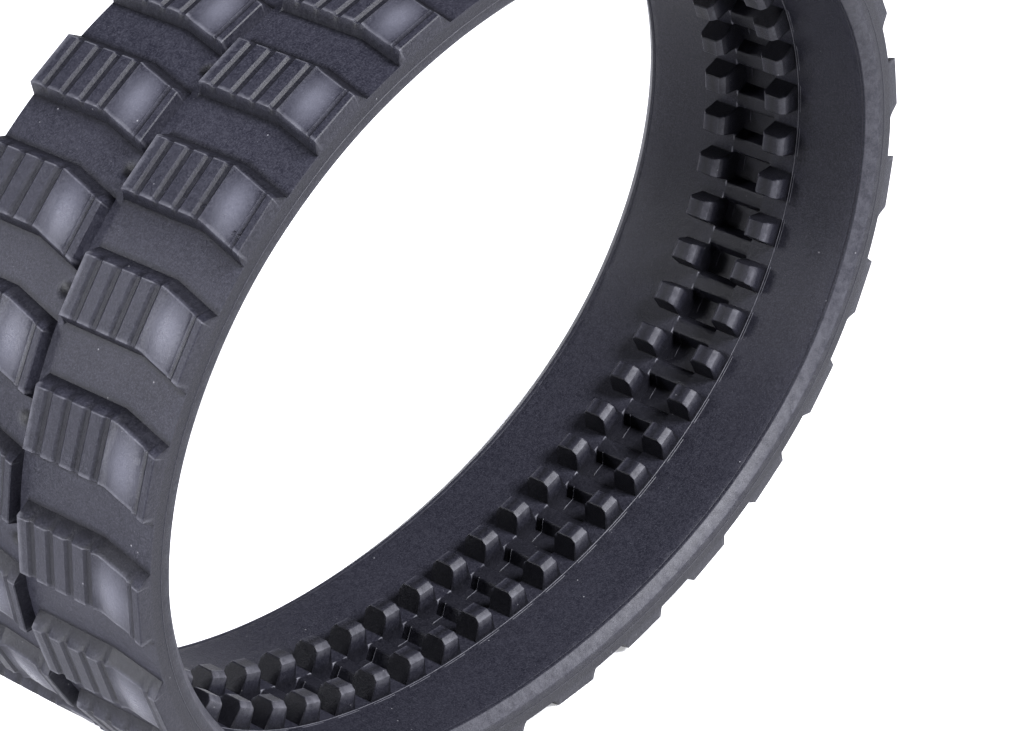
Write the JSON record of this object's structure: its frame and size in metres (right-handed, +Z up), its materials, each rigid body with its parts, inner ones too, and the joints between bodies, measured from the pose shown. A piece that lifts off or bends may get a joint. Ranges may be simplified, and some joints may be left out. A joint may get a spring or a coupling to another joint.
{
  "type": "rubber track",
  "caption": "Endless rubber track standing as a sagging oval, with two rows of inner lugs, sprocket pockets, staggered tread blocks, and steel core bars and cords inside.",
  "frame": {"origin": "middle of the patch of tread that the track stands on", "axes": "+X along the longer diameter of the oval, +Y across the belt, +Z up"},
  "size_m": [0.148, 0.0384, 0.1094],
  "materials": {
    "rubber": "satin",
    "bar_steel": "satin",
    "cord_steel": "satin"
  },
  "bodies": {
    "section_01": {"rubber_section_01": "rubber", "core_bars_01": "bar_steel", "tension_cords_01": "cord_steel"},
    "section_02": {"rubber_section_02": "rubber", "core_bars_02": "bar_steel", "tension_cords_02": "cord_steel"},
    "section_03_04": {"rubber_section_03": "rubber", "core_bars_03": "bar_steel", "tension_cords_03": "cord_steel", "rubber_section_04": "rubber", "core_bars_04": "bar_steel", "tension_cords_04": "cord_steel"},
    "section_05": {"rubber_section_05": "rubber", "core_bars_05": "bar_steel", "tension_cords_05": "cord_steel"},
    "section_06": {"rubber_section_06": "rubber", "core_bars_06": "bar_steel", "tension_cords_06": "cord_steel"},
    "section_07_08": {"rubber_section_07": "rubber", "core_bars_07": "bar_steel", "tension_cords_07": "cord_steel", "rubber_section_08": "rubber", "core_bars_08": "bar_steel", "tension_cords_08": "cord_steel"},
    "section_09": {"rubber_section_09": "rubber", "core_bars_09": "bar_steel", "tension_cords_09": "cord_steel"},
    "section_10": {"rubber_section_10": "rubber", "core_bars_10": "bar_steel", "tension_cords_10": "cord_steel"},
    "section_11": {"rubber_section_11": "rubber", "core_bars_11": "bar_steel", "tension_cords_11": "cord_steel"},
    "section_12": {"rubber_section_12": "rubber", "core_bars_12": "bar_steel", "tension_cords_12": "cord_steel"},
    "section_13": {"rubber_section_13": "rubber", "core_bars_13": "bar_steel", "tension_cords_13": "cord_steel"},
    "section_14": {"rubber_section_14": "rubber", "core_bars_14": "bar_steel", "tension_cords_14": "cord_steel"},
    "section_15": {"rubber_section_15": "rubber", "core_bars_15": "bar_steel", "tension_cords_15": "cord_steel"},
    "section_16_17": {"rubber_section_16": "rubber", "core_bars_16": "bar_steel", "tension_cords_16": "cord_steel", "rubber_section_17": "rubber", "core_bars_17": "bar_steel", "tension_cords_17": "cord_steel"},
    "section_18": {"rubber_section_18": "rubber", "core_bars_18": "bar_steel", "tension_cords_18": "cord_steel"}
  },
  "joints": [
    {"name": "bend_01_02", "type": "hinge", "parent": "section_01", "child": "section_02", "pos_m": [0.01086, 0, 0.0031], "axis": [0, -1, 0], "range_deg": [-11, 12], "stiffness_Nm_per_rad": 1.7, "springref_deg": 0.45},
    {"name": "bend_02_03", "type": "hinge", "parent": "section_02", "child": "section_03_04", "pos_m": [0.03211, 0, 0.0075], "axis": [0, -1, 0], "range_deg": [-8.21, 8.96], "stiffness_Nm_per_rad": 1.5, "springref_deg": -0.07},
    {"name": "bend_04_05", "type": "hinge", "parent": "section_03_04", "child": "section_05", "pos_m": [0.06557, 0, 0.03367], "axis": [0, -1, 0], "range_deg": [-12.05, 11.05], "stiffness_Nm_per_rad": 1.2, "springref_deg": -1.08},
    {"name": "bend_05_06", "type": "hinge", "parent": "section_05", "child": "section_06", "pos_m": [0.07093, 0, 0.05452], "axis": [0, -1, 0], "range_deg": [-17.86, 16.38], "stiffness_Nm_per_rad": 1.2, "springref_deg": -1.21},
    {"name": "bend_06_07", "type": "hinge", "parent": "section_06", "child": "section_07_08", "pos_m": [0.06557, 0, 0.07536], "axis": [0, -1, 0], "range_deg": [-12.05, 11.05], "stiffness_Nm_per_rad": 1.1, "springref_deg": -1.19},
    {"name": "bend_08_09", "type": "hinge", "parent": "section_07_08", "child": "section_09", "pos_m": [0.03211, 0, 0.10153], "axis": [0, -1, 0], "range_deg": [-8.21, 8.96], "stiffness_Nm_per_rad": 0.54, "springref_deg": -1.23},
    {"name": "bend_09_10", "type": "hinge", "parent": "section_09", "child": "section_10", "pos_m": [0.01086, 0, 0.10593], "axis": [0, -1, 0], "range_deg": [-11.05, 12.05], "stiffness_Nm_per_rad": 0.3, "springref_deg": -1.24},
    {"name": "bend_10_11", "type": "hinge", "parent": "section_10", "child": "section_11", "pos_m": [-0.01086, 0, 0.10593], "axis": [0, -1, 0], "range_deg": [-11.05, 12.05], "stiffness_Nm_per_rad": 0.13, "springref_deg": -1.24},
    {"name": "bend_11_12", "type": "hinge", "parent": "section_11", "child": "section_12", "pos_m": [-0.03211, 0, 0.10153], "axis": [0, -1, 0], "range_deg": [-8.21, 8.96], "stiffness_Nm_per_rad": 0.03, "springref_deg": -1.24},
    {"name": "bend_18_01", "type": "hinge", "parent": "section_01", "child": "section_18", "pos_m": [-0.01086, 0, 0.0031], "axis": [0, 1, 0], "range_deg": [-11.05, 12.05], "stiffness_Nm_per_rad": 0.79, "springref_deg": 1.24},
    {"name": "bend_17_18", "type": "hinge", "parent": "section_18", "child": "section_16_17", "pos_m": [-0.03211, 0, 0.0075], "axis": [0, 1, 0], "range_deg": [-8.21, 8.96], "stiffness_Nm_per_rad": 0.52, "springref_deg": 1.01},
    {"name": "bend_15_16", "type": "hinge", "parent": "section_16_17", "child": "section_15", "pos_m": [-0.06557, 0, 0.03367], "axis": [0, 1, 0], "range_deg": [-12.05, 11.05], "stiffness_Nm_per_rad": 0.2, "springref_deg": -0.02},
    {"name": "bend_14_15", "type": "hinge", "parent": "section_15", "child": "section_14", "pos_m": [-0.07093, 0, 0.05452], "axis": [0, 1, 0], "range_deg": [-17.86, 16.38], "stiffness_Nm_per_rad": 0.093, "springref_deg": -0.62},
    {"name": "bend_13_14", "type": "hinge", "parent": "section_14", "child": "section_13", "pos_m": [-0.06557, 0, 0.07536], "axis": [0, 1, 0], "range_deg": [-12.05, 11.05], "stiffness_Nm_per_rad": 0.024, "springref_deg": -1.15}
  ],
  "couplings": [
    {"joint": "bend_02_03", "follows": "bend_01_02", "ratio": 0.74223},
    {"joint": "bend_04_05", "follows": "bend_01_02", "ratio": -1},
    {"joint": "bend_05_06", "follows": "bend_01_02", "ratio": -1.4845},
    {"joint": "bend_06_07", "follows": "bend_01_02", "ratio": -1},
    {"joint": "bend_08_09", "follows": "bend_01_02", "ratio": 0.74223},
    {"joint": "bend_09_10", "follows": "bend_01_02", "ratio": 1},
    {"joint": "bend_10_11", "follows": "bend_01_02", "ratio": 1},
    {"joint": "bend_11_12", "follows": "bend_01_02", "ratio": 0.74223},
    {"joint": "bend_18_01", "follows": "bend_01_02", "ratio": 1},
    {"joint": "bend_17_18", "follows": "bend_01_02", "ratio": 0.74223},
    {"joint": "bend_15_16", "follows": "bend_01_02", "ratio": -1},
    {"joint": "bend_14_15", "follows": "bend_01_02", "ratio": -1.4845},
    {"joint": "bend_13_14", "follows": "bend_01_02", "ratio": -1}
  ]
}
